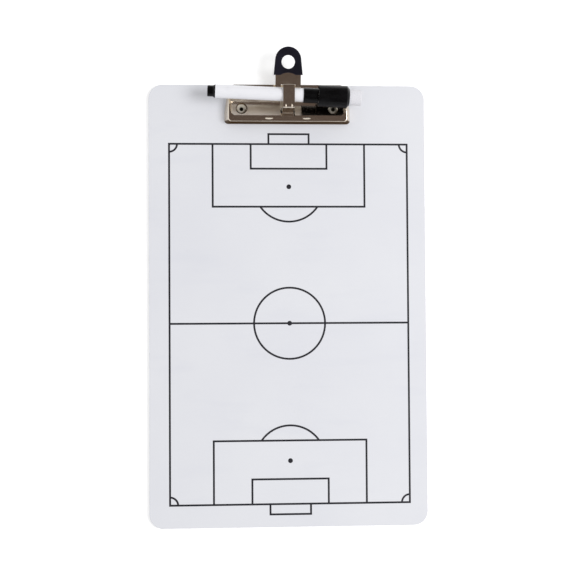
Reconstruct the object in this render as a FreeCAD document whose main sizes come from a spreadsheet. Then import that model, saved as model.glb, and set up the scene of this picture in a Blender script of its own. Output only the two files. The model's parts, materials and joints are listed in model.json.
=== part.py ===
import FreeCAD, Part
import itertools
import math
import os
from types import SimpleNamespace

import Sketcher
from FreeCAD import Placement, Rotation, Vector

# Clipboard tactics board: a laminated board with a printed football pitch, a sprung clip and a marker.
# Frame: X across the board, Y along it towards the clip, Z out of the printed face.
# The origin is the middle of the board's back face. Lengths are millimetres, angles are degrees.

SIZES = {
    # Board, a core between two films
    "board_width": 220.0,
    "board_length": 350.0,
    "board_corner": 11.0,
    "core_thick": 2.6,
    "film_thick": 0.2,
    # Printed pitch, measured to the middle of its lines
    "margin_left": 16.13,
    "margin_right": 14.27,
    "margin_top": 46.98,
    "margin_bottom": 18.02,
    "line_width": 1.5,
    "ink_thick": 0.05,
    "penalty_width": 120.9,
    "penalty_depth": 49.9,
    "goal_area_width": 60.4,
    "goal_area_depth": 19.6,
    "goal_width": 32.05,
    "goal_depth": 8.0,
    "circle_radius": 28.2,
    "spot_radius": 1.9,
    "spot_distance": 34.0,
    "arc_radius": 27.8,
    "corner_arc": 6.3,
    # Clip base plate and its rivets
    "base_width": 92.0,
    "base_depth": 27.8,
    "base_overhang": 0.4,
    "base_thick": 0.8,
    "base_corner": 4.0,
    "rivet_spacing": 73.0,
    "rivet_from_top": 19.5,
    "rivet_shank": 2.0,
    "rivet_bore": 1.5,
    "rivet_bore_depth": 3.4,
    "rivet_head": 3.8,
    "rivet_head_rise": 1.1,
    "rivet_rim": 0.4,
    "rivet_roll": 0.8,
    "rivet_flange": 3.4,
    "rivet_flange_thick": 0.6,
    "counterbore_depth": 0.8,
    "hole_clear": 0.1,
    "flange_clear": 0.2,
    # Hinge pin, ears and spring
    "pivot_from_top": 20.5,
    "pin_radius": 1.0,
    "pin_head": 1.4,
    "pin_head_thick": 0.6,
    "run_clear": 0.05,
    "ear_radius": 1.9,
    "ear_gap": 1.0,
    "wire_dia": 0.8,
    "wire_sides": 6.0,
    "coil_clear": 0.2,
    "coil_turns": 4.0,
    "coil_half_length": 6.6,
    "spring_seat": 0.1,
    "spring_leg": 5.8,
    "spring_foot": 4.5,
    # Pressed jaw
    "sheet": 0.8,
    "jaw_width": 100.0,
    "jaw_depth": 20.0,
    "jaw_height": 8.0,
    "lip_from_top": 31.0,
    "lip_gap": 0.2,
    "wall_draft": 1.0,
    "end_draft": 2.8,
    "jaw_corner": 3.0,
    "jaw_round": 1.2,
    "dish_width": 88.8,
    "dish_slope": 20.0,
    "dish_low": 4.1,
    "dish_low_from_top": 14.5,
    "dish_taper": 30.0,
    "dish_corner": 4.0,
    "dish_run_out": 2.0,
    "swing_from_pivot": 1.6,
    "swing_rise": 4.8,
    "access_radius": 4.7,
    # Lever with its pen loop
    "lever_angle": 10.0,
    "lever_rise": 11.9,
    "lever_width": 20.0,
    "lever_round": 1.2,
    "leg_overlap": 3.0,
    "plate_start": 11.35,
    "slit_width": 1.2,
    "slit_from_lip": 5.2,
    "loop_width": 9.0,
    "loop_clear": 0.35,
    "loop_start": 10.5,
    "loop_foot": 8.8,
    "loop_front": 9.65,
    "loop_rear": 7.95,
    "loop_heel": 6.0,
    "loop_bend": 1.3,
    "loop_end": 1.9,
    # Plastic lever tip
    "tip_mouth": 15.25,
    "tip_length": 22.0,
    "tip_radius": 10.2,
    "tip_taper": 5.7,
    "tip_skin": 1.2,
    "tip_bevel": 0.6,
    "tip_clear": 0.05,
    "tip_grip": 4.0,
    "tongue_margin": 1.6,
    "mouth_arch": 1.8,
    "mouth_arch_radius": 10.9,
    "hang_radius": 5.3,
    "hang_from_end": 11.9,
    "hang_lining": 1.0,
    # Marker
    "marker_from_top": 10.45,
    "marker_tilt": 2.3,
    "barrel_left": 57.4,
    "barrel_length": 69.0,
    "barrel_radius": 5.35,
    "barrel_wall": 0.9,
    "spigot_length": 7.0,
    "fit_clear": 0.03,
    "plug_length": 6.2,
    "plug_radius": 4.35,
    "plug_edge": 0.5,
    "plug_flare": 1.9,
    "collar_length": 11.8,
    "collar_radius": 5.9,
    "nose_radius": 4.6,
    "nose_length": 12.0,
    "nose_taper": 3.0,
    "nose_tip_radius": 3.0,
    "nib_radius": 2.0,
    "nib_reach": 3.2,
    "nib_shoulder": 1.6,
    "nib_point_radius": 0.9,
    "wick_radius": 3.6,
    "wick_gap": 2.0,
    "cap_length": 24.3,
    "cap_mouth_radius": 8.45,
    "cap_radius": 8.75,
    "cap_wall": 1.2,
    "cap_web": 1.2,
    "cap_edge": 0.4,
    "cap_shoulder": 2.0,
    "seal_bore_clear": 0.1,
    "seal_wall": 1.0,
    "seal_flange": 1.4,
    "eraser_radius": 6.2,
    "eraser_edge": 0.4,
    "eraser_seat": 3.1,
    "eraser_length": 9.4,
}

# How near counts as lying on a face, how far counts as clear of it, and what counts as zero
ON_FACE = 0.01
OFF_FACE = 0.1
ZERO = 1e-9

doc = FreeCAD.newDocument("tactics_board")
sheet = doc.addObject("Spreadsheet::Sheet", "Sizes")
for row, (alias, amount) in enumerate(SIZES.items(), 1):
    sheet.set(f"A{row}", alias)
    sheet.set(f"B{row}", str(amount))
    sheet.setAlias(f"B{row}", alias)
doc.recompute()


class Size:
    """A number together with the sheet expression that gives it."""

    def __init__(self, value, text):
        self.value = value
        self.text = text

    def __add__(self, other):
        other = as_size(other)
        return Size(self.value + other.value, f"({self.text} + {other.text})")

    def __sub__(self, other):
        other = as_size(other)
        return Size(self.value - other.value, f"({self.text} - {other.text})")

    def __mul__(self, other):
        other = as_size(other)
        return Size(self.value * other.value, f"({self.text} * {other.text})")

    def __truediv__(self, other):
        other = as_size(other)
        return Size(self.value / other.value, f"({self.text} / {other.text})")

    def __neg__(self):
        return Size(-self.value, f"(0 - {self.text})")

    def __radd__(self, other):
        return as_size(other) + self

    def __rsub__(self, other):
        return as_size(other) - self

    def __rmul__(self, other):
        return as_size(other) * self


def as_size(value):
    return value if isinstance(value, Size) else Size(float(value), repr(float(value)))


def cosine(angle):
    return Size(math.cos(math.radians(angle.value)), f"cos({angle.text})")


def sine(angle):
    return Size(math.sin(math.radians(angle.value)), f"sin({angle.text})")


def tangent(angle):
    return Size(math.tan(math.radians(angle.value)), f"tan({angle.text})")


d = SimpleNamespace(**{alias: Size(sheet.get(alias), f"Sizes.{alias}") for alias in SIZES})

# Heights and places that several pieces share
face = d.core_thick + 2 * d.film_thick
top_edge = d.board_length / 2
coil_radius = d.pin_radius + d.coil_clear + d.wire_dia / 2
pivot_y = top_edge - d.pivot_from_top
pivot_z = face + d.base_thick + d.spring_seat + coil_radius + d.wire_dia / 2
rivet_y = top_edge - d.rivet_from_top
lip_y = top_edge - d.lip_from_top
jaw_rear = lip_y + d.jaw_depth
lip_z = face + d.lip_gap
jaw_top = face + d.jaw_height
bar_half = d.lever_width / 2
bar_inner = bar_half - d.sheet
strip_half = d.loop_width / 2
slot_half = strip_half + d.slit_width

# The floor of the dish slopes down towards the rear, from the rim to its low edge
low_y = top_edge - d.dish_low_from_top
low_z = face + d.dish_low


def floor_z(y):
    return low_z + (low_y - y) * tangent(d.dish_slope)


# The lever's own frame: its origin lies on the lever's upper surface, under the marker's axis
axis_above_lever = d.barrel_radius + d.loop_clear
marker_y = top_edge - d.marker_from_top
lever_y = marker_y + axis_above_lever * sine(d.lever_angle)
lever_z = face + d.lever_rise
marker_z = lever_z + axis_above_lever * cosine(d.lever_angle)
tip_end = d.tip_mouth + d.tip_length
tip_centre = tip_end - d.tip_radius
hang_at = tip_end - d.hang_from_end


def bind(thing, name, value):
    thing.setExpression(name, as_size(value).text)


def place(thing, x=0, y=0, z=0, axis=None, angle=None):
    """Binds a placement to the sheet; the axis of a bound angle stays fixed."""
    if axis is not None:
        thing.Placement = Placement(Vector(), Rotation(axis, 1.0))
        bind(thing, "Placement.Rotation.Angle", angle)
    for name, value in zip("xyz", (x, y, z)):
        bind(thing, f"Placement.Base.{name}", value)
    return thing


def place_on_lever(thing, x=0, along=0, out=0):
    """Binds a placement given in the lever's frame: along the lever and out of its upper surface."""
    along = as_size(along)
    out = as_size(out)
    y = lever_y + along * cosine(d.lever_angle) - out * sine(d.lever_angle)
    z = lever_z + along * sine(d.lever_angle) + out * cosine(d.lever_angle)
    return place(thing, x, y, z, Vector(1, 0, 0), d.lever_angle)


def box(name, length, width, height):
    block = doc.addObject("Part::Box", name)
    bind(block, "Length", length)
    bind(block, "Width", width)
    bind(block, "Height", height)
    return block


def block_between(name, low, high):
    """A box given by its two opposite corners."""
    block = box(name, *(as_size(b) - a for a, b in zip(low, high)))
    return place(block, *low)


def rod(name, radius, height):
    cylinder = doc.addObject("Part::Cylinder", name)
    bind(cylinder, "Radius", radius)
    bind(cylinder, "Height", height)
    return cylinder


def rod_up(name, x, y, z, radius, height):
    return place(rod(name, radius, height), x, y, z)


def rod_across(name, x, y, z, radius, length):
    return place(rod(name, radius, length), x, y, z, Vector(0, 1, 0), 90)


def fuse(name, *shapes):
    joined = doc.addObject("Part::MultiFuse", name)
    joined.Shapes = list(shapes)
    joined.Refine = True
    return joined


def cut(name, base, *tools):
    result = doc.addObject("Part::Cut", name)
    result.Base = base
    result.Tool = tools[0] if len(tools) == 1 else fuse(f"{name}_tools", *tools)
    result.Refine = True
    return result


def common(name, first, second):
    shared = doc.addObject("Part::Common", name)
    shared.Base = first
    shared.Tool = second
    return shared


def edge_names(shape, wanted):
    return [f"Edge{i}" for i, edge in enumerate(shape.Edges, 1) if wanted(edge)]


def middle(edge):
    return edge.valueAt((edge.FirstParameter + edge.LastParameter) / 2)


def rises_most(way):
    """Tells whether a direction runs more along Z than along X or Y."""
    return abs(way.z) > max(abs(way.x), abs(way.y))


def eased(kind, name, base, picks):
    """Fillets or chamfers the edges of a Part object; picks pairs a test of an edge with its size."""
    doc.recompute()
    result = doc.addObject(kind, name)
    result.Base = base
    chosen = []
    for wanted, size in picks:
        for i, edge in enumerate(base.Shape.Edges, 1):
            if wanted(edge):
                chosen.append((i, size.value, size.value))
    result.Edges = chosen
    return result


def outline(body, name, plane, corners, offset=0):
    """A closed polygon whose corners are bound to the sheet."""
    sketch = body.newObject("Sketcher::SketchObject", name)
    support = [item for item in body.Origin.OriginFeatures if item.Role == plane][0]
    sketch.AttachmentSupport = [(support, "")]
    sketch.MapMode = "FlatFace"
    bind(sketch, "AttachmentOffset.Base.z", offset)
    corners = [(as_size(u), as_size(v)) for u, v in corners]
    spots = [Vector(u.value, v.value, 0) for u, v in corners]
    count = len(spots)
    for i in range(count):
        sketch.addGeometry(Part.LineSegment(spots[i], spots[(i + 1) % count]), False)
    for i in range(count):
        sketch.addConstraint(Sketcher.Constraint("Coincident", i, 2, (i + 1) % count, 1))
    for i, (u, v) in enumerate(corners):
        fix_coordinate(sketch, "DistanceX", i, u, -2)
        fix_coordinate(sketch, "DistanceY", i, v, -1)
    return sketch


def fix_coordinate(sketch, kind, line, value, axis):
    """Ties one coordinate of a line's start to the sheet, measured from the sketch's origin."""
    if abs(value.value) < ZERO:
        sketch.addConstraint(Sketcher.Constraint("PointOnObject", line, 1, axis))
        return
    if value.value > 0:
        rule = Sketcher.Constraint(kind, -1, 1, line, 1, value.value)
    else:
        value = -value
        rule = Sketcher.Constraint(kind, line, 1, -1, 1, value.value)
    bind(sketch, f"Constraints[{sketch.addConstraint(rule)}]", value)


def padded(name, plane, corners, length, centred=False, offset=0, taper=None):
    body = doc.addObject("PartDesign::Body", name)
    pad = body.newObject("PartDesign::Pad", f"{name}_pad")
    pad.Profile = outline(body, f"{name}_outline", plane, corners, offset)
    bind(pad, "Length", length)
    pad.Midplane = centred
    if taper is not None:
        bind(pad, "TaperAngle", taper)
    return body


def round_edges(body, name, wanted, radius):
    """Fillets the edges of a body's last feature that pass the test."""
    doc.recompute()
    last = body.Tip
    fillet = body.newObject("PartDesign::Fillet", name)
    fillet.Base = (last, edge_names(last.Shape, wanted))
    bind(fillet, "Radius", radius)
    return body


def revolved(name, corners):
    """Turns a half section, given as places along X and radii, about X."""
    body = doc.addObject("PartDesign::Body", name)
    turned = body.newObject("PartDesign::Revolution", f"{name}_turned")
    turned.Profile = outline(body, f"{name}_section", "XY_Plane", corners)
    turned.ReferenceAxis = (turned.Profile[0], ["H_Axis"])
    turned.Angle = 360
    return body


def rectangle(half_width, low, high):
    return [(-half_width, low), (half_width, low), (half_width, high), (-half_width, high)]


def is_upright(edge):
    return edge.Curve.TypeId == "Part::GeomLine" and rises_most(edge.Curve.Direction)


def plate(name, half_width, low, high, z, thick, corner):
    """A flat plate with rounded corners."""
    body = padded(name, "XY_Plane", rectangle(half_width, low, high), thick, offset=z)
    return round_edges(body, f"{name}_corners", is_upright, corner)


# Board

def rivet_holes(name, z, height, radius):
    half = d.rivet_spacing / 2
    left = rod_up(f"{name}_left", -half, rivet_y, z, radius, height)
    right = rod_up(f"{name}_right", half, rivet_y, z, radius, height)
    return [left, right]


def board_layer(name, z, thick):
    return plate(f"{name}_blank", d.board_width / 2, -top_edge, top_edge, z, thick, d.board_corner)


def make_board():
    """Core and films, with the rivet holes counterbored from the back."""
    narrow = d.rivet_shank + d.hole_clear
    wide = d.rivet_flange + d.flange_clear
    core_low = d.film_thick
    core_high = core_low + d.core_thick
    sunk = d.counterbore_depth - core_low
    rear = board_layer("rear_film", 0, d.film_thick)
    core = board_layer("board_core", core_low, d.core_thick)
    front = board_layer("front_film", core_high, d.film_thick)
    core_holes = rivet_holes("core_hole", core_low, d.core_thick, narrow)
    core_holes += rivet_holes("core_counterbore", core_low, sunk, wide)
    cut("rear_film", rear, *rivet_holes("rear_hole", 0, d.film_thick, wide))
    cut("board_core", core, *core_holes)
    cut("front_film", front, *rivet_holes("front_hole", core_high, d.film_thick, narrow))


# Printed pitch

pitch_left = d.margin_left - d.board_width / 2
pitch_right = d.board_width / 2 - d.margin_right
pitch_low = d.margin_bottom - top_edge
pitch_high = top_edge - d.margin_top
pitch_x = (pitch_left + pitch_right) / 2
pitch_y = (pitch_low + pitch_high) / 2


def ink_box(name, x_low, x_high, y_low, y_high):
    return block_between(name, (x_low, y_low, face), (x_high, y_high, face + d.ink_thick))


def ink_frame(name, half_width, y_low, y_high):
    """A rectangle drawn with the line width, given to the middle of its lines."""
    half = d.line_width / 2
    left = pitch_x - half_width
    right = pitch_x + half_width
    outer = ink_box(f"{name}_outer", left - half, right + half, y_low - half, y_high + half)
    inner = ink_box(f"{name}_inner", left + half, right - half, y_low + half, y_high - half)
    return cut(name, outer, inner)


def ink_ring(name, x, y, radius):
    half = d.line_width / 2
    outer = rod_up(f"{name}_outer", x, y, face, radius + half, d.ink_thick)
    inner = rod_up(f"{name}_inner", x, y, face, radius - half, d.ink_thick)
    return cut(name, outer, inner)


def ink_spot(name, y):
    return rod_up(name, pitch_x, y, face, d.spot_radius, d.ink_thick)


def ink_half(name, goal_line, side):
    """The markings at one end of the pitch; side is 1 towards the clip and -1 away from it."""

    def area(label, half_width, depth):
        ends = sorted((goal_line, goal_line - side * depth), key=lambda place_y: place_y.value)
        return ink_frame(f"{name}_{label}", half_width, *ends)

    edge = goal_line - side * d.penalty_depth
    spot_y = goal_line - side * d.spot_distance
    reach = d.arc_radius + d.line_width
    beyond = sorted((edge, edge - side * reach), key=lambda place_y: place_y.value)
    window = ink_box(f"{name}_window", pitch_x - reach, pitch_x + reach, *beyond)
    return [
        area("penalty_area", d.penalty_width / 2, d.penalty_depth),
        area("goal_area", d.goal_area_width / 2, d.goal_area_depth),
        area("goal", d.goal_width / 2, -d.goal_depth),
        common(f"{name}_arc", ink_ring(f"{name}_ring", pitch_x, spot_y, d.arc_radius), window),
        ink_spot(f"{name}_spot", spot_y),
    ]


def make_pitch():
    half = d.line_width / 2
    corners = itertools.product((pitch_left, pitch_right), (pitch_low, pitch_high))
    corner_rings = [ink_ring(f"corner_ring_{i}", x, y, d.corner_arc) for i, (x, y) in enumerate(corners)]
    inside = ink_box("pitch_inside", pitch_left, pitch_right, pitch_low, pitch_high)
    fuse(
        "pitch_markings",
        ink_frame("touch_lines", (pitch_right - pitch_left) / 2, pitch_low, pitch_high),
        ink_box("halfway_line", pitch_left, pitch_right, pitch_y - half, pitch_y + half),
        ink_ring("centre_circle", pitch_x, pitch_y, d.circle_radius),
        ink_spot("centre_spot", pitch_y),
        common("corner_arcs", fuse("corner_rings", *corner_rings), inside),
        *ink_half("upper", pitch_high, 1),
        *ink_half("lower", pitch_low, -1),
    )


# Clip base: plate with upturned ears, rivets, pin and spring

ear_outer = bar_inner - d.ear_gap
ear_inner = ear_outer - d.base_thick


def base_ear(name, side):
    """An ear lanced from the plate and turned up beside the coil."""
    low = ear_inner if side > 0 else -ear_outer
    lobe = rod_across(f"{name}_lobe", low, pivot_y, pivot_z, d.ear_radius, d.base_thick)
    web = block_between(
        f"{name}_web",
        (low, pivot_y - d.ear_radius, face),
        (low + d.base_thick, pivot_y + d.ear_radius, pivot_z),
    )
    return fuse(name, lobe, web)


def lance_window(name, side):
    """The opening that an ear leaves in the plate."""
    height = pivot_z + d.ear_radius - face - d.base_thick
    near = ear_inner if side > 0 else -ear_inner
    far = near - side * height
    ends = sorted((near, far), key=lambda place_x: place_x.value)
    return block_between(
        name,
        (ends[0], pivot_y - d.ear_radius, face),
        (ends[1], pivot_y + d.ear_radius, face + d.base_thick),
    )


def make_base_plate():
    rear = top_edge + d.base_overhang
    front = rear - d.base_depth
    flat = plate("base_blank", d.base_width / 2, front, rear, face, d.base_thick, d.base_corner)
    holes = rivet_holes("base_hole", face, d.base_thick, d.rivet_shank + d.hole_clear)
    lanced = cut("base_flat", flat, lance_window("lance_left", -1), lance_window("lance_right", 1), *holes)
    raised = fuse("base_raised", lanced, base_ear("base_ear_left", -1), base_ear("base_ear_right", 1))
    length = 2 * ear_outer
    bore = rod_across("base_pin_bore", -ear_outer, pivot_y, pivot_z, d.pin_radius + d.fit_clear, length)
    cut("clip_base_plate", raised, bore)


def make_rivets():
    """Semi-tubular rivets: bored end rolled over on the plate, flange sunk in the back of the board."""
    seat = face + d.base_thick
    crown = seat + d.rivet_head_rise
    bore_floor = crown - d.rivet_bore_depth
    flange_low = d.counterbore_depth - d.rivet_flange_thick
    section = [
        (flange_low, 0),
        (bore_floor, 0),
        (bore_floor, d.rivet_bore),
        (crown, d.rivet_bore),
        (crown, d.rivet_head - d.rivet_roll),
        (seat + d.rivet_rim, d.rivet_head),
        (seat, d.rivet_head),
        (seat, d.rivet_shank),
        (d.counterbore_depth, d.rivet_shank),
        (d.counterbore_depth, d.rivet_flange),
        (flange_low, d.rivet_flange),
    ]
    for name, side in (("rivet_left", -1), ("rivet_right", 1)):
        rivet = revolved(name, section)
        place(rivet, side * d.rivet_spacing / 2, rivet_y, 0, Vector(0, -1, 0), 90)


def make_pin():
    """Hinge pin with both ends spread outside the jaw's ears."""
    shoulder = bar_half + d.run_clear
    end = shoulder + d.pin_head_thick
    pin = revolved("pivot_pin", [
        (-end, 0),
        (end, 0),
        (end, d.pin_head),
        (shoulder, d.pin_head),
        (shoulder, d.pin_radius),
        (-shoulder, d.pin_radius),
        (-shoulder, d.pin_head),
        (-end, d.pin_head),
    ])
    place(pin, 0, pivot_y, pivot_z)


def biarc(start, start_way, end, end_way):
    """Two arcs that join two points along the given directions."""
    chord = end - start
    total = start_way + end_way
    bend = 2 * (1 - start_way.dot(end_way))
    along = chord.dot(total)
    reach = (math.sqrt(along * along + bend * chord.dot(chord)) - along) / bend
    joint = (start + start_way * reach + end - end_way * reach) / 2
    return [arc_from(start, start_way, joint), arc_from(end, end_way * -1, joint, True)]


def arc_from(start, way, end, backwards=False):
    """The arc that leaves start along way and ends at end."""
    chord = end - start
    straight = chord.Length
    half_turn = way.getAngle(chord) / 2
    halfway = way + chord * (1 / straight)
    halfway.normalize()
    top = start + halfway * (straight / 2 / math.cos(half_turn))
    return Part.Arc(end, top, start).toShape() if backwards else Part.Arc(start, top, end).toShape()


def spring_path():
    """Legs and coil of the torsion spring, on the pin's axis: one leg on the plate, one under the dish."""
    radius = coil_radius.value
    half = d.coil_half_length.value
    leg = d.spring_leg.value
    below = (d.sheet + d.wire_dia / 2) / cosine(d.dish_slope) + d.spring_seat
    touch_z = (floor_z(pivot_y + d.spring_leg) - pivot_z - below).value
    touch = Vector(half, leg, touch_z)
    distance = math.hypot(leg, touch_z)
    leave = math.atan2(touch_z, leg) + math.acos(radius / distance)
    first = -math.pi / 2
    last = leave - 2 * math.pi * (1 + d.coil_turns.value)
    sweep = last - first
    steps = max(2, round(-sweep / math.pi))
    drift = 2 * half / abs(sweep) / radius
    points = []
    ways = []
    for i in range(steps + 1):
        share = i / steps
        angle = first + sweep * share
        side = half * (2 * share - 1)
        points.append(Vector(side, radius * math.cos(angle), radius * math.sin(angle)))
        way = Vector(0 if i in (0, steps) else drift, math.sin(angle), -math.cos(angle))
        ways.append(way.normalize())
    foot = points[0] + Vector(0, d.spring_foot.value, 0)
    edges = [Part.LineSegment(foot, points[0]).toShape()]
    for i in range(steps):
        edges += biarc(points[i], ways[i], points[i + 1], ways[i + 1])
    edges.append(Part.LineSegment(points[-1], touch).toShape())
    return Part.Wire(edges)


def least_gap(path, thickness, skip):
    """The least gap between stretches of a round wire that are further apart along it than skip."""
    step = thickness / 4
    count = int(path.Length / step)
    points = path.discretize(Number=count)
    far = int(skip / step)
    nearest = min((points[i] - points[j]).Length for i in range(count) for j in range(i + far, count))
    return nearest - thickness


def make_spring():
    path = spring_path()
    wire = d.wire_dia.value
    print("spring wire length", round(path.Length, 2))
    print("spring least gap", round(least_gap(path, wire, math.pi * coil_radius.value), 3))
    start = path.Edges[0].Vertexes[0].Point
    profile = Part.makePolygon([
        start + Rotation(Vector(0, 1, 0), 360 * i / d.wire_sides.value).multVec(Vector(wire / 2, 0, 0))
        for i in range(int(d.wire_sides.value) + 1)
    ])
    shell = Part.BRepOffsetAPI.MakePipeShell(path)
    shell.add(profile)
    shell.build()
    shell.makeSolid()
    spring = doc.addObject("Part::Feature", "torsion_spring")
    spring.Shape = shell.shape()
    spring.Placement = Placement(Vector(0, pivot_y.value, pivot_z.value), Rotation())


# Jaw: drafted pan with a tilted dish, lever, pen loop

def place_on_floor(thing, x=0, back=0, under=0):
    """Binds a placement given on the dish floor: forward from its low edge and under its surface."""
    y = low_y - back * cosine(d.dish_slope) - under * sine(d.dish_slope)
    z = low_z + back * sine(d.dish_slope) - under * cosine(d.dish_slope)
    return place(thing, x, y, z, Vector(-1, 0, 0), d.dish_slope)


def pan_block(name, inset):
    """The drafted block of the jaw, or the block inside its sheet."""
    tall = jaw_top - lip_z
    share = (tall - inset) / tall
    lean = d.wall_draft * share
    end_lean = d.end_draft * share
    half = d.jaw_width / 2 - inset
    front = lip_y + inset
    block = doc.addObject("Part::Wedge", name)
    limits = {
        "Xmin": -half, "Xmax": half, "X2min": end_lean - half, "X2max": half - end_lean,
        "Ymin": lip_z, "Ymax": jaw_top - inset,
        "Zmin": -jaw_rear, "Z2min": -jaw_rear, "Zmax": -front, "Z2max": -(front + lean),
    }
    for limit, value in limits.items():
        bind(block, limit, value)
    return place(block, axis=Vector(1, 0, 0), angle=90)


def dish_block(name, grow):
    """The tapered block that the dish leaves free, or that block with the sheet round it."""
    spread = grow * (1 - sine(d.dish_taper)) / cosine(d.dish_taper)
    half = d.dish_width / 2 + spread
    front = (d.jaw_height - d.dish_low) / sine(d.dish_slope) + d.dish_run_out + spread
    corner = d.dish_corner
    floor = [
        (corner - half, -front), (half - corner, -front),
        (half, corner - front), (half, spread),
        (-half, spread), (-half, corner - front),
    ]
    body = padded(name, "XY_Plane", floor, 2 * d.jaw_height, taper=d.dish_taper)
    return place_on_floor(body, under=grow)


def make_pan():
    top = jaw_top.value

    def is_front_corner(edge):
        spot = middle(edge)
        near_front = spot.y < lip_y.value + d.wall_draft.value + d.sheet.value
        return near_front and rises_most(edge.tangentAt(edge.FirstParameter))

    def is_top_rim(edge):
        spot = middle(edge)
        return abs(spot.z - top) < ON_FACE and spot.y < jaw_rear.value - OFF_FACE

    picks = [(is_front_corner, d.jaw_corner), (is_top_rim, d.jaw_round)]
    outside = eased("Part::Fillet", "pan_outside", pan_block("pan_block", 0), picks)
    dished = cut("pan_dished", outside, dish_block("dish", 0))
    core = pan_block("pan_core", d.sheet)
    inside = eased("Part::Fillet", "pan_inside", core, [(is_front_corner, d.jaw_corner - d.sheet)])
    hollow = cut("pan_hollow", inside, dish_block("dish_sheet", d.sheet))
    shell = cut("pan_shell", dished, hollow)
    slot = block_between(
        "pan_slot",
        (-slot_half, lip_y + d.slit_from_lip, face),
        (slot_half, jaw_rear + d.sheet, jaw_top + d.sheet),
    )
    strip = box("pan_strip", d.loop_width, d.jaw_depth, 2 * d.jaw_height)
    place_on_floor(strip, -strip_half, d.loop_start + d.jaw_depth, d.jaw_height)
    slits = cut("pan_slits", slot, strip)
    swing_from = pivot_y - d.swing_from_pivot
    swing = padded("pan_swing_room", "YZ_Plane", [
        (swing_from, face),
        (jaw_rear + d.sheet, face),
        (jaw_rear + d.sheet, lip_z + d.swing_rise),
        (swing_from, lip_z),
    ], d.jaw_width + 2 * d.sheet, centred=True)
    access = rivet_holes("rivet_access", face + d.base_thick, d.jaw_height, d.access_radius)
    return cut("pan", shell, slits, swing, *access)


shoulder_end = d.tip_mouth + d.tip_grip


def lever_box(name, x_half, along_low, along_high, low, high):
    block = box(name, 2 * x_half, along_high - along_low, high - as_size(low))
    return place_on_lever(block, -x_half, along_low, low)


def make_lever():
    """Two legs that go on from the dish's rear wall, and the plate above them, slit for the pen loop."""
    rise = 90 - d.dish_slope - d.dish_taper - d.lever_angle
    low_along = (low_y - lever_y) * cosine(d.lever_angle) + (low_z - lever_z) * sine(d.lever_angle)
    low_out = (low_z - lever_z) * cosine(d.lever_angle) - (low_y - lever_y) * sine(d.lever_angle)
    bend_at = low_along - low_out / tangent(rise)
    bend_under = bend_at + d.sheet * tangent(rise / 2)
    leg_along = low_along + d.leg_overlap * cosine(rise)
    leg_out = low_out + d.leg_overlap * sine(rise)
    bent = padded("lever_bent", "YZ_Plane", [
        (leg_along, leg_out),
        (leg_along + d.sheet * sine(rise), leg_out - d.sheet * cosine(rise)),
        (bend_under, -d.sheet),
        (d.plate_start, -d.sheet),
        (d.plate_start, 0),
        (bend_at, 0),
    ], d.lever_width, centred=True)

    def is_outer_bend(edge):
        spot = middle(edge)
        return math.hypot(spot.y - bend_at.value, spot.z) < ON_FACE

    def is_inner_bend(edge):
        spot = middle(edge)
        return math.hypot(spot.y - bend_under.value, spot.z + d.sheet.value) < ON_FACE

    round_edges(bent, "lever_bend_outer", is_outer_bend, d.lever_round + d.sheet)
    round_edges(bent, "lever_bend_inner", is_inner_bend, d.lever_round)
    place_on_lever(bent)
    slot_end = d.loop_heel + d.loop_end
    slot = lever_box("lever_slot", slot_half, low_along, slot_end, low_out - d.sheet, d.sheet)
    return cut("lever_frame", bent, slot)


def rounded_path(corners, radius):
    """Straight runs through the corners, rounded where they meet."""
    edges = []
    last = corners[0]
    for before, corner, after in zip(corners, corners[1:], corners[2:]):
        back = (before - corner).normalize()
        onward = (after - corner).normalize()
        half = back.getAngle(onward) / 2
        inward = (back + onward).normalize()
        centre = corner + inward * (radius / math.sin(half))
        first = corner + back * (radius / math.tan(half))
        final = corner + onward * (radius / math.tan(half))
        edges.append(Part.LineSegment(last, first).toShape())
        edges.append(Part.Arc(first, centre - inward * radius, final).toShape())
        last = final
    edges.append(Part.LineSegment(last, corners[-1]).toShape())
    return Part.Wire(edges)


def make_loop():
    """The pen loop: a strip that rises from the dish, bridges the marker and comes down on the lever."""
    slope = math.radians(d.dish_slope.value)
    lean = math.radians(d.lever_angle.value)
    half = d.sheet.value / 2
    high = 2 * axis_above_lever.value + half

    def on_floor(back):
        y = low_y.value - back * math.cos(slope) - half * math.sin(slope)
        return Vector(0, y, low_z.value + back * math.sin(slope) - half * math.cos(slope))

    def on_lever(along, out):
        y = lever_y.value + along * math.cos(lean) - out * math.sin(lean)
        return Vector(0, y, lever_z.value + along * math.sin(lean) + out * math.cos(lean))

    heel = d.loop_heel.value
    start = on_floor(d.loop_start.value)
    path = rounded_path([
        start,
        on_floor(d.loop_foot.value),
        on_lever(-d.loop_front.value, high),
        on_lever(d.loop_rear.value, high),
        on_lever(heel, -half),
        on_lever(heel + d.loop_end.value, -half),
    ], d.loop_bend.value)
    across = Vector(strip_half.value, 0, 0)
    upward = Vector(0, math.sin(slope), math.cos(slope)) * half
    left = start - across
    right = start + across
    profile = [left - upward, right - upward, right + upward, left + upward, left - upward]
    shell = Part.BRepOffsetAPI.MakePipeShell(path)
    shell.add(Part.makePolygon(profile))
    shell.build()
    shell.makeSolid()
    loop = doc.addObject("Part::Feature", "pen_loop")
    loop.Shape = shell.shape()


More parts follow.
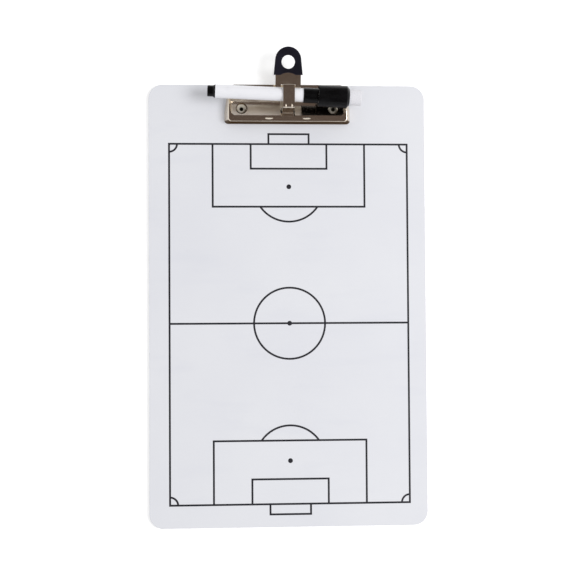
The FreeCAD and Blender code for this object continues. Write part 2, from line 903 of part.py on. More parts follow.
def make_tongue(name, margin):
    """The flat end of the lever inside the tip, or the room for it when margin is not zero."""
    low = -d.sheet - margin
    wide = lever_box(f"{name}_wide", bar_half + margin, d.plate_start, shoulder_end + margin, low, margin)
    round_radius = d.tip_radius - d.tongue_margin
    narrow = lever_box(f"{name}_narrow", round_radius + margin, d.plate_start, tip_centre, low, margin)
    end = rod(f"{name}_end", round_radius + margin, d.sheet + 2 * margin)
    place_on_lever(end, 0, tip_centre, low)
    hole = rod(f"{name}_hole", d.hang_radius + d.hang_lining - margin, d.sheet + 2 * margin)
    place_on_lever(hole, 0, hang_at, low)
    return cut(name, fuse(f"{name}_outline", wide, narrow, end), hole)


def jaw_ear(name, x):
    """An ear under the dish that turns on the pin."""
    front = pivot_y - d.ear_radius
    rear = pivot_y + d.ear_radius
    lobe = rod_across(f"{name}_lobe", x, pivot_y, pivot_z, d.ear_radius, d.sheet)
    web = padded(f"{name}_web", "YZ_Plane", [
        (front, pivot_z),
        (rear, pivot_z),
        (rear, floor_z(rear) - d.sheet / 2),
        (front, floor_z(front) - d.sheet / 2),
    ], d.sheet)
    return fuse(name, lobe, place(web, x))


def make_jaw():
    ears = [jaw_ear("jaw_ear_left", -bar_half), jaw_ear("jaw_ear_right", bar_inner)]
    joined = fuse("jaw_joined", make_pan(), make_lever(), make_tongue("tongue", 0), *ears)
    length = d.lever_width + 2 * d.sheet
    bore = rod_across("jaw_pin_bore", -length / 2, pivot_y, pivot_z, d.pin_radius + d.run_clear, length)
    cut("clip_jaw", joined, bore)


def make_tip():
    """Plastic sleeve over the lever's end, with a hang hole through both."""
    thick = d.sheet + 2 * d.tip_skin
    low = -d.sheet - d.tip_skin
    lean = tangent(d.tip_taper)
    mouth_half = d.tip_radius / cosine(d.tip_taper) + (tip_centre - d.tip_mouth) * lean
    side_half = d.tip_radius * cosine(d.tip_taper)
    side_end = tip_centre + d.tip_radius * sine(d.tip_taper)
    flank = padded("tip_flank", "XY_Plane", [
        (-mouth_half, d.tip_mouth),
        (mouth_half, d.tip_mouth),
        (side_half, side_end),
        (-side_half, side_end),
    ], thick, offset=low)
    place_on_lever(flank)
    crown = place_on_lever(rod("tip_crown", d.tip_radius, thick), 0, tip_centre, low)
    blank = fuse("tip_blank", flank, crown)
    doc.recompute()
    to_lever = flank.Placement.inverse()

    def is_rim(edge):
        spot = to_lever.multVec(middle(edge))
        on_face = min(abs(spot.z - low.value), abs(spot.z - low.value - thick.value)) < ON_FACE
        return on_face and spot.y > d.tip_mouth.value + OFF_FACE

    bevelled = eased("Part::Chamfer", "tip_bevelled", blank, [(is_rim, d.tip_bevel)])
    hole = place_on_lever(rod("tip_hole", d.hang_radius, thick), 0, hang_at, low)
    arch_at = d.tip_mouth + d.mouth_arch - d.mouth_arch_radius
    arch = place_on_lever(rod("tip_arch", d.mouth_arch_radius, 2 * d.tip_skin), 0, arch_at, 0)
    cut("lever_tip", bevelled, hole, arch, make_tongue("tongue_room", d.tip_clear))


# Marker: its pieces share one axis, with zero under the pen loop

barrel_right = d.barrel_length - d.barrel_left
barrel_inside = d.barrel_radius - d.barrel_wall
spigot_radius = barrel_inside - d.fit_clear
cap_left = barrel_right + d.collar_length
cap_right = cap_left + d.cap_length
nose_end = cap_left + d.nose_length


def marker_piece(name, section):
    return place(revolved(name, section), 0, marker_y, marker_z, Vector(0, 0, -1), d.marker_tilt)


def make_marker():
    left = -d.barrel_left
    marker_piece("marker_barrel", [
        (left, barrel_inside),
        (barrel_right, barrel_inside),
        (barrel_right, d.barrel_radius),
        (left, d.barrel_radius),
    ])
    plug_end = left - d.plug_length
    marker_piece("marker_tail_plug", [
        (plug_end, 0),
        (left + d.spigot_length, 0),
        (left + d.spigot_length, spigot_radius),
        (left, spigot_radius),
        (left, d.barrel_radius),
        (left - d.plug_flare, d.plug_radius),
        (plug_end + d.plug_edge, d.plug_radius),
        (plug_end, d.plug_radius - d.plug_edge),
    ])
    wick_left = left + d.spigot_length + d.wick_gap
    wick_right = barrel_right - d.spigot_length
    marker_piece("marker_ink_reservoir", [
        (wick_left, 0),
        (wick_right, 0),
        (wick_right, d.wick_radius),
        (wick_left, d.wick_radius),
    ])
    make_grip()
    nib_end = nose_end + d.nib_reach
    marker_piece("marker_nib", [
        (wick_right, 0),
        (nib_end, 0),
        (nib_end, d.nib_point_radius),
        (nib_end - d.nib_shoulder, d.nib_radius),
        (wick_right, d.nib_radius),
    ])


def make_grip():
    """Front piece of the marker: spigot in the barrel, collar, nose inside the cap."""
    bore = d.nib_radius + d.fit_clear
    inner = barrel_right - d.spigot_length
    marker_piece("marker_grip", [
        (inner, bore),
        (nose_end, bore),
        (nose_end, d.nose_tip_radius),
        (nose_end - d.nose_taper, d.nose_radius),
        (cap_left, d.nose_radius),
        (cap_left, d.collar_radius),
        (barrel_right, d.collar_radius),
        (barrel_right, spigot_radius),
        (inner, spigot_radius),
    ])


def make_cap():
    """Cap that widens towards its closed end, with an inner sealing sleeve and a felt eraser."""
    bore = d.nose_radius + d.seal_bore_clear
    seal = bore + d.seal_wall
    shell = d.cap_radius - d.cap_wall
    seat = cap_right - d.eraser_seat
    floor = seat - d.cap_web
    marker_piece("marker_cap", [
        (cap_left, shell),
        (cap_left, d.cap_mouth_radius),
        (cap_right - d.cap_shoulder, d.cap_radius),
        (cap_right, d.eraser_radius + d.cap_edge),
        (cap_right, d.eraser_radius + d.fit_clear),
        (seat, d.eraser_radius + d.fit_clear),
        (seat, 0),
        (floor, 0),
        (floor, shell),
    ])
    flange = floor - d.seal_flange
    marker_piece("cap_seal", [
        (cap_left, bore),
        (floor, bore),
        (floor, shell - d.fit_clear),
        (flange, shell - d.fit_clear),
        (flange, seal),
        (cap_left, seal),
    ])
    end = cap_right + d.eraser_length
    marker_piece("marker_eraser", [
        (seat, 0),
        (end, 0),
        (end, d.eraser_radius - d.eraser_edge),
        (end - d.eraser_edge, d.eraser_radius),
        (seat, d.eraser_radius),
    ])


NODES = [
    "board_core", "front_film", "rear_film", "pitch_markings",
    "clip_base_plate", "rivet_left", "rivet_right", "pivot_pin", "torsion_spring",
    "clip_jaw", "pen_loop", "lever_tip",
    "marker_barrel", "marker_tail_plug", "marker_ink_reservoir", "marker_grip", "marker_nib",
    "marker_cap", "cap_seal", "marker_eraser",
]

make_board()
make_pitch()
make_base_plate()
make_rivets()
make_pin()
make_spring()
make_jaw()
make_loop()
make_tip()
make_marker()
make_cap()
doc.recompute()

# Every object has to be sound before anything is written
for item in doc.Objects:
    if "Invalid" in item.State or "Error" in item.State:
        raise RuntimeError(f"{item.Label} failed: {item.State}")
pieces = {label: doc.getObjectsByLabel(label)[0] for label in NODES}
for label, piece in pieces.items():
    if piece.Shape.isNull() or not piece.Shape.isValid() or not piece.Shape.Solids:
        raise RuntimeError(f"{label} has no sound solid")

os.makedirs("parts", exist_ok=True)
for label, piece in pieces.items():
    piece.Shape.exportStep(f"parts/{label}.step")
    print(label, len(piece.Shape.Solids), "solids", round(piece.Shape.Volume, 2), "mm3")
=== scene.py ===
"""Looks of the clipboard tactics board, in metres in the part's frame.

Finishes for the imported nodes, a round spring wire, small beads and ribs on the clip, studio and camera.
"""
import json
import math

import bmesh
import bpy
from mathutils import Matrix, Vector


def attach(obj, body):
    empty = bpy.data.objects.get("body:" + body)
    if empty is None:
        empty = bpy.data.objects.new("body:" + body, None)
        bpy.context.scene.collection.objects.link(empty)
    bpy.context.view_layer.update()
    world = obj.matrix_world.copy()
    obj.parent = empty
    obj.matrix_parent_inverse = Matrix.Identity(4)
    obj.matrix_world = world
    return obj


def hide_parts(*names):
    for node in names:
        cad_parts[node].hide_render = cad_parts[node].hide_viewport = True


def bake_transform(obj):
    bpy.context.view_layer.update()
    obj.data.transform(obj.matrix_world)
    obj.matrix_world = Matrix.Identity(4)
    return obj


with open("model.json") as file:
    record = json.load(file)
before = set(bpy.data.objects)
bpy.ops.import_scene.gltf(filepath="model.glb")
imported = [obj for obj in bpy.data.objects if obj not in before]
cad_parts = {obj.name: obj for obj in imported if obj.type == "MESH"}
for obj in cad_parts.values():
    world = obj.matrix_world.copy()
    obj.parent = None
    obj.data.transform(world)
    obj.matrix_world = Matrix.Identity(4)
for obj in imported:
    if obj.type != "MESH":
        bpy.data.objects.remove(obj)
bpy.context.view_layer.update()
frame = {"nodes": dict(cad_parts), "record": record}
nodes = frame["nodes"]

MM = 0.001
WHITE = (1.0, 1.0, 1.0, 1.0)
BLACK = (0.0, 0.0, 0.0, 1.0)
FULL_SPAN = (0.0, 1.0)
# Almost all the values of a noise lie in this span
NOISE_SPAN = (0.3, 0.7)


# Shading helpers

def srgb(red, green, blue):
    """A colour given in 0 to 255 as seen, as the linear values that a shader takes."""
    def linear(level):
        share = level / 255
        return share / 12.92 if share <= 0.04045 else ((share + 0.055) / 1.055) ** 2.4
    return linear(red), linear(green), linear(blue), 1.0


class Finish:
    """A material's node tree, with short calls for the patterns that the finishes share."""

    # Places of a mix node's sockets for colours, whose names its other kinds share
    MIX_SHARE, MIX_FIRST, MIX_SECOND, MIX_RESULT = 0, 6, 7, 2
    # Cosine between the plain and the rounded normal where an edge's mask begins and where it is full
    EDGE_SPAN = (0.995, 0.85)
    EDGE_SAMPLES = 8

    def __init__(self, name, sockets):
        self.material = bpy.data.materials.new(name)
        self.material.use_nodes = True
        self.tree = self.material.node_tree
        self.shader = self.tree.nodes["Principled BSDF"]
        self.place = self.add("ShaderNodeTexCoord").outputs["Object"]
        for socket, value in sockets.items():
            self.feed(self.shader.inputs[socket], value)

    def add(self, kind, inputs=None, **settings):
        """A new node with its settings, and its inputs set or linked."""
        node = self.tree.nodes.new(kind)
        for name, value in settings.items():
            setattr(node, name, value)
        for socket, value in (inputs or {}).items():
            self.feed(node.inputs[socket], value)
        return node

    def feed(self, socket, value):
        """Links another node's output to the socket, or sets the socket to a value."""
        if isinstance(value, bpy.types.NodeSocket):
            self.tree.links.new(value, socket)
        else:
            socket.default_value = value

    def noise(self, size, detail=3.0, turn=0.0):
        """Noise with spots of the given size in millimetres, one number or one for each axis."""
        sizes = size if isinstance(size, tuple) else (size, size, size)
        spread = self.add("ShaderNodeMapping", {
            "Vector": self.place,
            "Rotation": (0.0, 0.0, turn),
            "Scale": tuple(1 / (MM * one) for one in sizes),
        })
        return self.add("ShaderNodeTexNoise", {
            "Vector": spread.outputs["Vector"],
            "Scale": 1.0,
            "Detail": detail,
        }).outputs["Fac"]

    def along(self, axis):
        """One coordinate of the place, in metres."""
        return self.add("ShaderNodeSeparateXYZ", {"Vector": self.place}).outputs[axis]

    def remap(self, value, span, gives=FULL_SPAN):
        """A value carried from one span to another and held at its ends."""
        return self.add("ShaderNodeMapRange", {
            "Value": value,
            "From Min": span[0],
            "From Max": span[1],
            "To Min": gives[0],
            "To Max": gives[1],
        }).outputs["Result"]

    def maths(self, operation, first, second):
        return self.add("ShaderNodeMath", {0: first, 1: second}, operation=operation).outputs["Value"]

    def tint(self, share, first, second):
        """A colour between two, by the share of the second."""
        mix = self.add("ShaderNodeMix", data_type="RGBA")
        self.feed(mix.inputs[self.MIX_SHARE], share)
        self.feed(mix.inputs[self.MIX_FIRST], first)
        self.feed(mix.inputs[self.MIX_SECOND], second)
        return mix.outputs[self.MIX_RESULT]

    def edges(self, reach):
        """A mask that rises to 1 within reach, in millimetres, of an edge."""
        rounded = self.add("ShaderNodeBevel", {"Radius": MM * reach}, samples=self.EDGE_SAMPLES)
        flat = self.add("ShaderNodeNewGeometry")
        meet = self.add("ShaderNodeVectorMath", {
            0: rounded.outputs["Normal"],
            1: flat.outputs["Normal"],
        }, operation="DOT_PRODUCT")
        return self.remap(meet.outputs["Value"], self.EDGE_SPAN)

    def relief(self, height, depth, under=None):
        """A normal raised by a height of 0 to 1, depth in millimetres, over another normal."""
        bump = self.add("ShaderNodeBump", {"Height": height, "Distance": MM * depth, "Strength": 1.0})
        if under is not None:
            self.feed(bump.inputs["Normal"], under)
        return bump.outputs["Normal"]

    def show(self, colour, roughness, normal):
        """The finished material."""
        self.feed(self.shader.inputs["Base Color"], colour)
        self.feed(self.shader.inputs["Roughness"], roughness)
        self.feed(self.shader.inputs["Normal"], normal)
        return self.material


# Finishes

def film_finish():
    """Satin dry-erase film with faint wiped ghosts, fine scratches and dulled edges."""
    clean, clouded = srgb(228, 229, 234), srgb(225, 226, 232)
    ghost, dulled = srgb(212, 214, 224), srgb(196, 196, 200)
    finish = Finish("white_film", {"IOR": 1.46})
    clouds = finish.remap(finish.noise(90.0), (0.35, 0.65))
    base = finish.tint(clouds, clean, clouded)
    wiped = finish.noise((60.0, 14.0, 20.0), detail=5.0, turn=0.5)
    base = finish.tint(finish.remap(wiped, (0.55, 0.8), gives=(0.0, 0.25)), base, ghost)
    rubbed = finish.remap(finish.noise(5.0), (0.4, 0.7))
    base = finish.tint(finish.maths("MULTIPLY", finish.edges(0.8), rubbed), base, dulled)
    scratches = finish.noise((30.0, 0.4, 5.0), detail=2.0, turn=0.6)
    peel = finish.relief(finish.noise(0.8), depth=0.004)
    return finish.show(
        base,
        finish.remap(scratches, NOISE_SPAN, gives=(0.3, 0.42)),
        finish.relief(scratches, depth=0.003, under=peel),
    )


def core_finish():
    """Sawn and trimmed edge of the plastic core, with fine layers through its thickness."""
    grey, white, soiled = srgb(222, 222, 226), srgb(236, 236, 238), srgb(190, 188, 184)
    finish = Finish("core_plastic", {"IOR": 1.49})
    layers = finish.noise((25.0, 25.0, 0.25), detail=4.0)
    base = finish.tint(layers, grey, white)
    dirt = finish.remap(finish.noise(3.0, detail=6.0), (0.55, 0.75), gives=(0.0, 0.5))
    base = finish.tint(dirt, base, soiled)
    return finish.show(
        base,
        finish.remap(layers, NOISE_SPAN, gives=(0.5, 0.7)),
        finish.relief(layers, depth=0.05),
    )


def ink_finish():
    """Screen-printed black lines, a little uneven in density."""
    dense, grained, starved = srgb(18, 18, 27), srgb(28, 28, 38), srgb(46, 47, 58)
    finish = Finish("print_ink", {"IOR": 1.45})
    grain = finish.remap(finish.noise(0.35, detail=2.0), NOISE_SPAN)
    base = finish.tint(grain, dense, grained)
    thin = finish.remap(finish.noise(7.0, detail=5.0), (0.6, 0.8), gives=(0.0, 0.4))
    base = finish.tint(thin, base, starved)
    return finish.show(
        base,
        finish.remap(grain, FULL_SPAN, gives=(0.4, 0.55)),
        finish.relief(grain, depth=0.01),
    )


def plate_finish():
    """Bright nickel plate on pressed sheet: rolling lines, waves, smears, pale edges, and a painted dark
    reflection on the jaw's front wall.
    """
    bright, smeared, worn = srgb(226, 216, 201), srgb(208, 196, 179), srgb(238, 231, 221)
    painted_reflection_colour, painted_reflection_edge_colour = srgb(112, 100, 90), srgb(152, 144, 138)
    # Where the painted dark reflection on the jaw's front wall begins and is full: downwards, and towards
    # the lip
    painted_reflection_z = (MM * 10.5, MM * 10.1)
    painted_reflection_y = (MM * 146.6, MM * 146.0)
    finish = Finish("plated_steel", {"Metallic": 1.0})
    smear = finish.remap(finish.noise((18.0, 9.0, 9.0), detail=5.0), (0.4, 0.7))
    base = finish.tint(smear, bright, smeared)
    base = finish.tint(finish.edges(0.5), base, worn)
    low = finish.remap(finish.along("Z"), painted_reflection_z)
    front = finish.remap(finish.along("Y"), painted_reflection_y)
    patchy = finish.remap(finish.noise((25.0, 3.0, 3.0), detail=4.0), (0.3, 0.6), gives=(0.92, 1.0))
    painted_reflection = finish.maths("MULTIPLY", finish.maths("MULTIPLY", low, front), patchy)
    # Painted dark reflection: the jaw's lower front wall is darkened towards the lip, standing in for the
    # dim room and shaded board it mirrors
    base = finish.tint(painted_reflection, base, painted_reflection_colour)
    # The metal's edge tint is darkened there too, so the painted dark reflection also holds at glancing
    # angles
    painted_reflection_edge_tint = finish.tint(painted_reflection, WHITE, painted_reflection_edge_colour)
    finish.feed(finish.shader.inputs["Specular Tint"], painted_reflection_edge_tint)
    rolled = finish.noise((25.0, 0.25, 0.25), detail=2.0)
    rough = finish.maths(
        "ADD",
        finish.remap(smear, FULL_SPAN, gives=(0.08, 0.17)),
        finish.remap(rolled, NOISE_SPAN, gives=(0.0, 0.06)),
    )
    waves = finish.relief(finish.noise(9.0, detail=1.0), depth=0.05)
    return finish.show(base, rough, finish.relief(rolled, depth=0.002, under=waves))


def rivet_finish():
    """Duller spotted plate on the rivets and the pin, with pale edges and painted shade in the rivets'
    hollows.
    """
    plain, spotted = srgb(232, 228, 216), srgb(206, 200, 184)
    worn, painted_hollow_shade = srgb(244, 240, 230), srgb(52, 46, 26)
    rivet_x, rivet_y = MM * 36.5, MM * 155.5
    # Squared distance from a rivet's axis where the painted shade begins and is full
    hollow_span = ((MM * 1.75) ** 2, (MM * 1.45) ** 2)
    # Height over which the painted shade comes in, so that the closed ends at the board's back stay clean
    open_end_span = (MM * 0.9, MM * 1.2)
    finish = Finish("rivet_steel", {"Metallic": 1.0})
    spots = finish.noise(1.2, detail=4.0)
    base = finish.tint(finish.remap(spots, (0.35, 0.65)), plain, spotted)
    base = finish.tint(finish.edges(0.3), base, worn)
    aside = finish.maths("SUBTRACT", finish.maths("ABSOLUTE", finish.along("X"), 0.0), rivet_x)
    ahead = finish.maths("SUBTRACT", finish.along("Y"), rivet_y)
    square = finish.maths(
        "ADD",
        finish.maths("MULTIPLY", aside, aside),
        finish.maths("MULTIPLY", ahead, ahead),
    )
    hollow = finish.remap(square, hollow_span)
    open_end = finish.remap(finish.along("Z"), open_end_span)
    # Painted shade: the inside of each rivet's hollow is darkened
    base = finish.tint(finish.maths("MULTIPLY", hollow, open_end), base, painted_hollow_shade)
    return finish.show(
        base,
        finish.remap(spots, NOISE_SPAN, gives=(0.36, 0.5)),
        finish.relief(spots, depth=0.02),
    )


def wire_finish():
    """Bare drawn wire with fine drawing lines."""
    pale, dark = srgb(160, 156, 150), srgb(120, 115, 108)
    finish = Finish("spring_steel", {"Metallic": 1.0})
    drawn = finish.noise((0.6, 0.2, 0.2))
    return finish.show(
        finish.tint(finish.remap(drawn, NOISE_SPAN), pale, dark),
        finish.remap(drawn, NOISE_SPAN, gives=(0.25, 0.4)),
        finish.relief(drawn, depth=0.01),
    )


def moulded_finish(name, dark, pale, grain_size, grain_depth, rough):
    """Moulded plastic with a fine grain, dull rubbed patches and scuffed paler edges."""
    scuff_gain = 4
    scuff = tuple(scuff_gain * level for level in pale[:3]) + (1.0,)
    finish = Finish(name, {"Specular IOR Level": 0.15})
    patches = finish.remap(finish.noise((14.0, 5.0, 5.0), detail=5.0), (0.4, 0.7))
    base = finish.tint(patches, dark, pale)
    rubbed = finish.remap(finish.noise(1.5, detail=4.0), (0.35, 0.65))
    base = finish.tint(finish.maths("MULTIPLY", finish.edges(0.5), rubbed), base, scuff)
    return finish.show(
        base,
        finish.remap(patches, FULL_SPAN, gives=rough),
        finish.relief(finish.noise(grain_size, detail=2.0), grain_depth),
    )


def barrel_finish():
    """Extruded white barrel: faint lengthwise drawing lines and handling marks."""
    white, drawn_white, handled = srgb(242, 242, 246), srgb(237, 237, 242), srgb(218, 218, 226)
    # The marker's axis leans from X by this angle, in radians
    lean = -0.042
    finish = Finish("barrel_plastic", {"IOR": 1.5})
    drawn = finish.noise((30.0, 0.5, 0.5), detail=2.0, turn=lean)
    marks = finish.remap(finish.noise((9.0, 3.0, 3.0), detail=6.0), (0.55, 0.8), gives=(0.0, 0.35))
    base = finish.tint(finish.remap(drawn, NOISE_SPAN), white, drawn_white)
    base = finish.tint(marks, base, handled)
    return finish.show(
        base,
        finish.remap(drawn, NOISE_SPAN, gives=(0.2, 0.3)),
        finish.relief(drawn, depth=0.004),
    )


def felt_finish(name, dark, pale, fibre):
    """Pressed fibre: matted tufts, as large as a fibre is long in millimetres, with a soft sheen."""
    thin = 0.2 * fibre
    finish = Finish(name, {"Sheen Weight": 0.3, "Sheen Roughness": 0.6})
    tufts = finish.noise(fibre, detail=6.0)
    strands = finish.noise((fibre, thin, thin), detail=4.0, turn=0.7)
    mat = finish.maths("MULTIPLY", tufts, strands)
    return finish.show(
        finish.tint(finish.remap(mat, (0.12, 0.36)), dark, pale),
        finish.remap(tufts, NOISE_SPAN, gives=(0.85, 1.0)),
        finish.relief(mat, depth=0.6),
    )


def seal_finish():
    """Natural soft plastic of the cap's inner sleeve."""
    pale, dark = srgb(206, 204, 196), srgb(190, 187, 178)
    finish = Finish("seal_plastic", {"IOR": 1.51})
    clouds = finish.noise(2.5, detail=4.0)
    return finish.show(
        finish.tint(finish.remap(clouds, NOISE_SPAN), pale, dark),
        finish.remap(clouds, NOISE_SPAN, gives=(0.4, 0.55)),
        finish.relief(clouds, depth=0.02),
    )


FINISHES = {
    "core_plastic": core_finish(),
    "white_film": film_finish(),
    "print_ink": ink_finish(),
    "plated_steel": plate_finish(),
    "rivet_steel": rivet_finish(),
    "spring_steel": wire_finish(),
    "tip_plastic": moulded_finish(
        "tip_plastic", srgb(13, 11, 24), srgb(20, 18, 33),
        grain_size=0.35, grain_depth=0.03, rough=(0.42, 0.58),
    ),
    "barrel_plastic": barrel_finish(),
    "black_plastic": moulded_finish(
        "black_plastic", srgb(7, 7, 8), srgb(12, 12, 14),
        grain_size=0.6, grain_depth=0.006, rough=(0.22, 0.36),
    ),
    "seal_plastic": seal_finish(),
    "wick_fibre": felt_finish("wick_fibre", srgb(30, 30, 35), srgb(48, 48, 54), fibre=0.4),
    "nib_felt": felt_finish("nib_felt", srgb(24, 24, 27), srgb(40, 40, 44), fibre=0.3),
    "eraser_felt": felt_finish("eraser_felt", srgb(222, 221, 227), srgb(246, 245, 250), fibre=0.7),
}

for subpart in frame["record"]["subparts"]:
    mesh = nodes[subpart["node"]].data
    mesh.materials.clear()
    mesh.materials.append(FINISHES[subpart["material_slot"]])


# Bars along lines of points

def placed(name, data):
    """A new object in the scene."""
    thing = bpy.data.objects.new(name, data)
    bpy.context.scene.collection.objects.link(thing)
    return thing


def tube(name, line, radii, sides, side, smooth=True):
    """A closed bar along a line of points, with a radius at each and a first sideways direction."""
    build = bmesh.new()
    rings = []
    for i, (point, radius) in enumerate(zip(line, radii)):
        along = (line[min(i + 1, len(line) - 1)] - line[max(i - 1, 0)]).normalized()
        side = (side - along * side.dot(along)).normalized()
        up = along.cross(side)
        angles = [2 * math.pi * k / sides for k in range(sides)]
        ways = [math.cos(angle) * side + math.sin(angle) * up for angle in angles]
        rings.append([build.verts.new(point + radius * way) for way in ways])
    for ring, following in zip(rings, rings[1:]):
        for k in range(sides):
            after = (k + 1) % sides
            build.faces.new((ring[k], ring[after], following[after], following[k]))
    build.faces.new(reversed(rings[0]))
    build.faces.new(rings[-1])
    bmesh.ops.recalc_face_normals(build, faces=build.faces)
    mesh = bpy.data.meshes.new(name)
    build.to_mesh(mesh)
    build.free()
    if smooth:
        mesh.shade_smooth()
    return placed(name, mesh)


# Spring wire, with lengths in millimetres

WIRE_RADIUS = 0.4
WIRE_SIDES = 16


def spring_line():
    """Points along the wire: a leg on the base plate, the coil on the pin, a leg under the dish."""
    pin = Vector((0.0, 154.5, 5.9))
    radius = 1.6
    half = 6.6
    foot = 4.5
    turns = 4
    touch = Vector((half, 5.8, -0.1))
    leg_steps = 8
    coil_steps = 24 * turns
    leave = math.atan2(touch.z, touch.y) + math.acos(radius / math.hypot(touch.y, touch.z))
    first = -math.pi / 2
    sweep = leave - 2 * math.pi * (1 + turns) - first
    line = [Vector((-half, foot * (1 - i / leg_steps), -radius)) for i in range(leg_steps)]
    for i in range(coil_steps + 1):
        angle = first + sweep * i / coil_steps
        across = half * (2 * i / coil_steps - 1)
        line.append(Vector((across, radius * math.cos(angle), radius * math.sin(angle))))
    last = line[-1].copy()
    line += [last.lerp(touch, i / leg_steps) for i in range(1, leg_steps + 1)]
    return [MM * (pin + point) for point in line]


wire = spring_line()
spring = tube("spring_wire", wire, [WIRE_RADIUS * MM] * len(wire), WIRE_SIDES, Vector((1.0, 0.0, 0.0)))
spring.data.materials.append(FINISHES["spring_steel"])
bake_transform(spring)
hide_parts("torsion_spring")


# Beads and ribs pressed up in the clip's sheet, with lengths in millimetres

BEAD_X = 14.9
BEAD_RADIUS = 1.0
BEAD_SIDES = 4
RIB_X = 2.35
RIB_RADIUS = 0.55
RIB_SIDES = 20
# Least share of its radius, squared, that a swelling keeps at its ends
END_SHARE = 0.01


def bead_line(x):
    """Points of a bead along the jaw's front rim, just under its face, with its middle at x."""
    y, z = 147.5, 10.9
    half = 3.3
    steps = 12
    return [Vector((x + half * (2 * i / steps - 1), y, z)) for i in range(steps + 1)]


def rib_line(x):
    """Points of a rib over the strap's front bend, just under its face, from the bridge down the riser."""
    centre = Vector((x, 155.16, 23.73))
    reach = 1.5
    top = math.radians(100.0)
    sweep = math.radians(72.9)
    back, back_steps = 2.0, 4
    bend_steps = 8
    drop, drop_steps = 6.5, 6

    def outward(angle):
        return Vector((0.0, math.cos(angle), math.sin(angle)))

    def rearward(angle):
        return Vector((0.0, math.sin(angle), -math.cos(angle)))

    first = centre + reach * outward(top)
    last = centre + reach * outward(top + sweep)
    line = [first + back * (1 - i / back_steps) * rearward(top) for i in range(back_steps)]
    line += [centre + reach * outward(top + sweep * i / bend_steps) for i in range(bend_steps + 1)]
    line += [last - drop * i / drop_steps * rearward(top + sweep) for i in range(1, drop_steps + 1)]
    return line


def pressed(name, line, radius, sides, side, smooth):
    """A swelling of the sheet along a line, fading out at both ends, smooth or with flat sides."""
    count = len(line) - 1
    shares = [2 * i / count - 1 for i in range(count + 1)]
    radii = [MM * radius * math.sqrt(max(1 - share * share, END_SHARE)) for share in shares]
    piece = tube(name, [MM * point for point in line], radii, sides, side, smooth)
    piece.data.materials.append(FINISHES["plated_steel"])
    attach(piece, "jaw")


for hand, way in (("left", -1.0), ("right", 1.0)):
    bead = bead_line(BEAD_X * way)
    pressed(f"rim_bead_{hand}", bead, BEAD_RADIUS, BEAD_SIDES, Vector((0.0, 1.0, 0.0)), smooth=False)
    rib = rib_line(RIB_X * way)
    pressed(f"strap_rib_{hand}", rib, RIB_RADIUS, RIB_SIDES, Vector((1.0, 0.0, 0.0)), smooth=True)


# Studio

def backdrop_rays(tree):
    """1 for rays that should see the white background: camera, mirror and glass rays."""
    path = tree.nodes.new("ShaderNodeLightPath")
    seen = path.outputs["Is Camera Ray"]
    for kind in ("Is Glossy Ray", "Is Transmission Ray"):
        either = tree.nodes.new("ShaderNodeMath")
        either.operation = "MAXIMUM"
        tree.links.new(seen, either.inputs[0])
        tree.links.new(path.outputs[kind], either.inputs[1])
        seen = either.outputs["Value"]
    return seen


def stage_sheet(name, half_x, half_y, place):
    """A flat sheet of the stage, with half its length along X and Y."""
    mesh = bpy.data.meshes.new(name)
    corners = [
        (-half_x, -half_y, 0.0),
        (half_x, -half_y, 0.0),
        (half_x, half_y, 0.0),
        (-half_x, half_y, 0.0),
    ]
    mesh.from_pydata(corners, [], [(0, 1, 2, 3)])
    sheet = placed(name, mesh)
    sheet.location = place
    return sheet


def make_floor(half, drop, level, glow):
    """Pale paper just under the board, which glows a little for the rays that see the background."""
    floor = stage_sheet("floor", half, half, (0.0, 0.0, -drop))
    finish = Finish("floor_paper", {
        "Roughness": 0.9,
        "Base Color": (level, level, level, 1.0),
        "Emission Color": WHITE,
    })
    seen = finish.maths("MULTIPLY", backdrop_rays(finish.tree), glow)
    finish.feed(finish.shader.inputs["Emission Strength"], seen)
    floor.data.materials.append(finish.material)


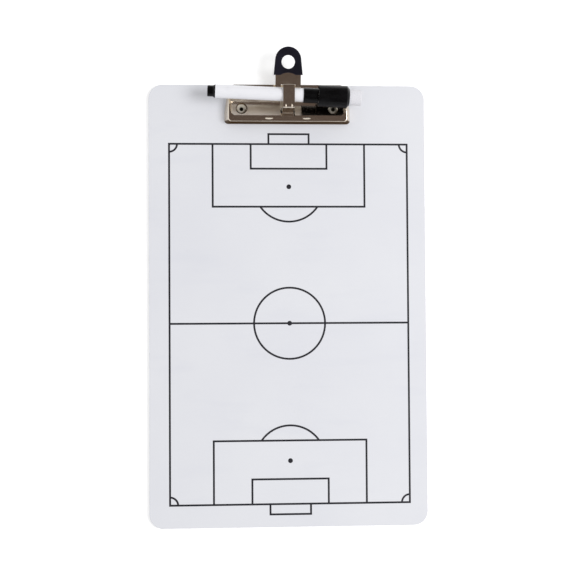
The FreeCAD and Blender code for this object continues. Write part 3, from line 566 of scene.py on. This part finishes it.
def make_dark_cards(half_width):
    """Brown cards over, behind and before the board that only mirrors see, as the dim room round a clip."""
    overhead = stage_sheet("overhead_card", half_width, half_y=3.6, place=(0.0, 0.5, 1.15))
    rear = stage_sheet("rear_card", half_width, half_y=0.6, place=(0.0, 4.1, 0.6))
    front = stage_sheet("front_card", half_width, half_y=0.15, place=(0.0, -3.1, 0.15))
    for upright in (rear, front):
        upright.rotation_euler.x = math.pi / 2
    finish = Finish("card_brown", {
        "Roughness": 1.0,
        "Base Color": BLACK,
        "Emission Color": srgb(92, 80, 75),
        "Emission Strength": 1.0,
    })
    for card in (overhead, rear, front):
        card.data.materials.append(finish.material)
        card.visible_camera = False
        card.visible_diffuse = False
        card.visible_shadow = False
        card.visible_transmission = False


def make_world(level):
    """Soft white light at a level, white for the rays that see the background."""
    world = bpy.data.worlds.new("studio")
    world.use_nodes = True
    bpy.context.scene.world = world
    tree = world.node_tree
    strength = tree.nodes.new("ShaderNodeMapRange")
    strength.inputs["To Min"].default_value = level
    tree.links.new(backdrop_rays(tree), strength.inputs["Value"])
    background = tree.nodes["Background"]
    background.inputs["Color"].default_value = WHITE
    tree.links.new(strength.outputs["Result"], background.inputs["Strength"])


def make_lamp(name, place, aim, size, power):
    """A round soft lamp at a place, turned to its aim."""
    lamp = bpy.data.lights.new(name, "AREA")
    lamp.shape = "DISK"
    lamp.size = size
    lamp.energy = power
    holder = placed(name, lamp)
    holder.location = place
    holder.rotation_euler = (Vector(aim) - Vector(place)).to_track_quat("-Z", "Y").to_euler()


def make_camera():
    """The photograph's view: a long lens almost square to the board, fitted to the pitch lines."""
    turn_x, turn_y, turn_z = -0.0327, 0.066, 0.004
    board_face = 0.003
    image_pixels = 576
    focal_pixels = 1261.13
    sensor = 36.0
    turn = (
        Matrix.Rotation(turn_z, 4, "Z")
        @ Matrix.Rotation(turn_y, 4, "Y")
        @ Matrix.Rotation(turn_x, 4, "X")
    )
    shift = Matrix.Translation((0.0002918, -0.013453, -1.0))
    face = Matrix.Translation((0.0, 0.0, -board_face))
    data = bpy.data.cameras.new("camera")
    data.sensor_width = sensor
    data.lens = focal_pixels * sensor / image_pixels
    data.clip_start = 0.01
    camera = placed("camera", data)
    camera.matrix_world = (shift @ turn @ face).inverted()
    bpy.context.scene.camera = camera


make_floor(half=4.0, drop=0.0002, level=0.92, glow=0.32)
make_dark_cards(half_width=0.6)
make_world(level=0.67)
make_lamp("key_lamp", place=(1.6, 0.0, 2.1), aim=(0.0, 0.05, 0.0), size=1.4, power=34.0)
make_camera()
bpy.context.scene.view_settings.view_transform = "Standard"
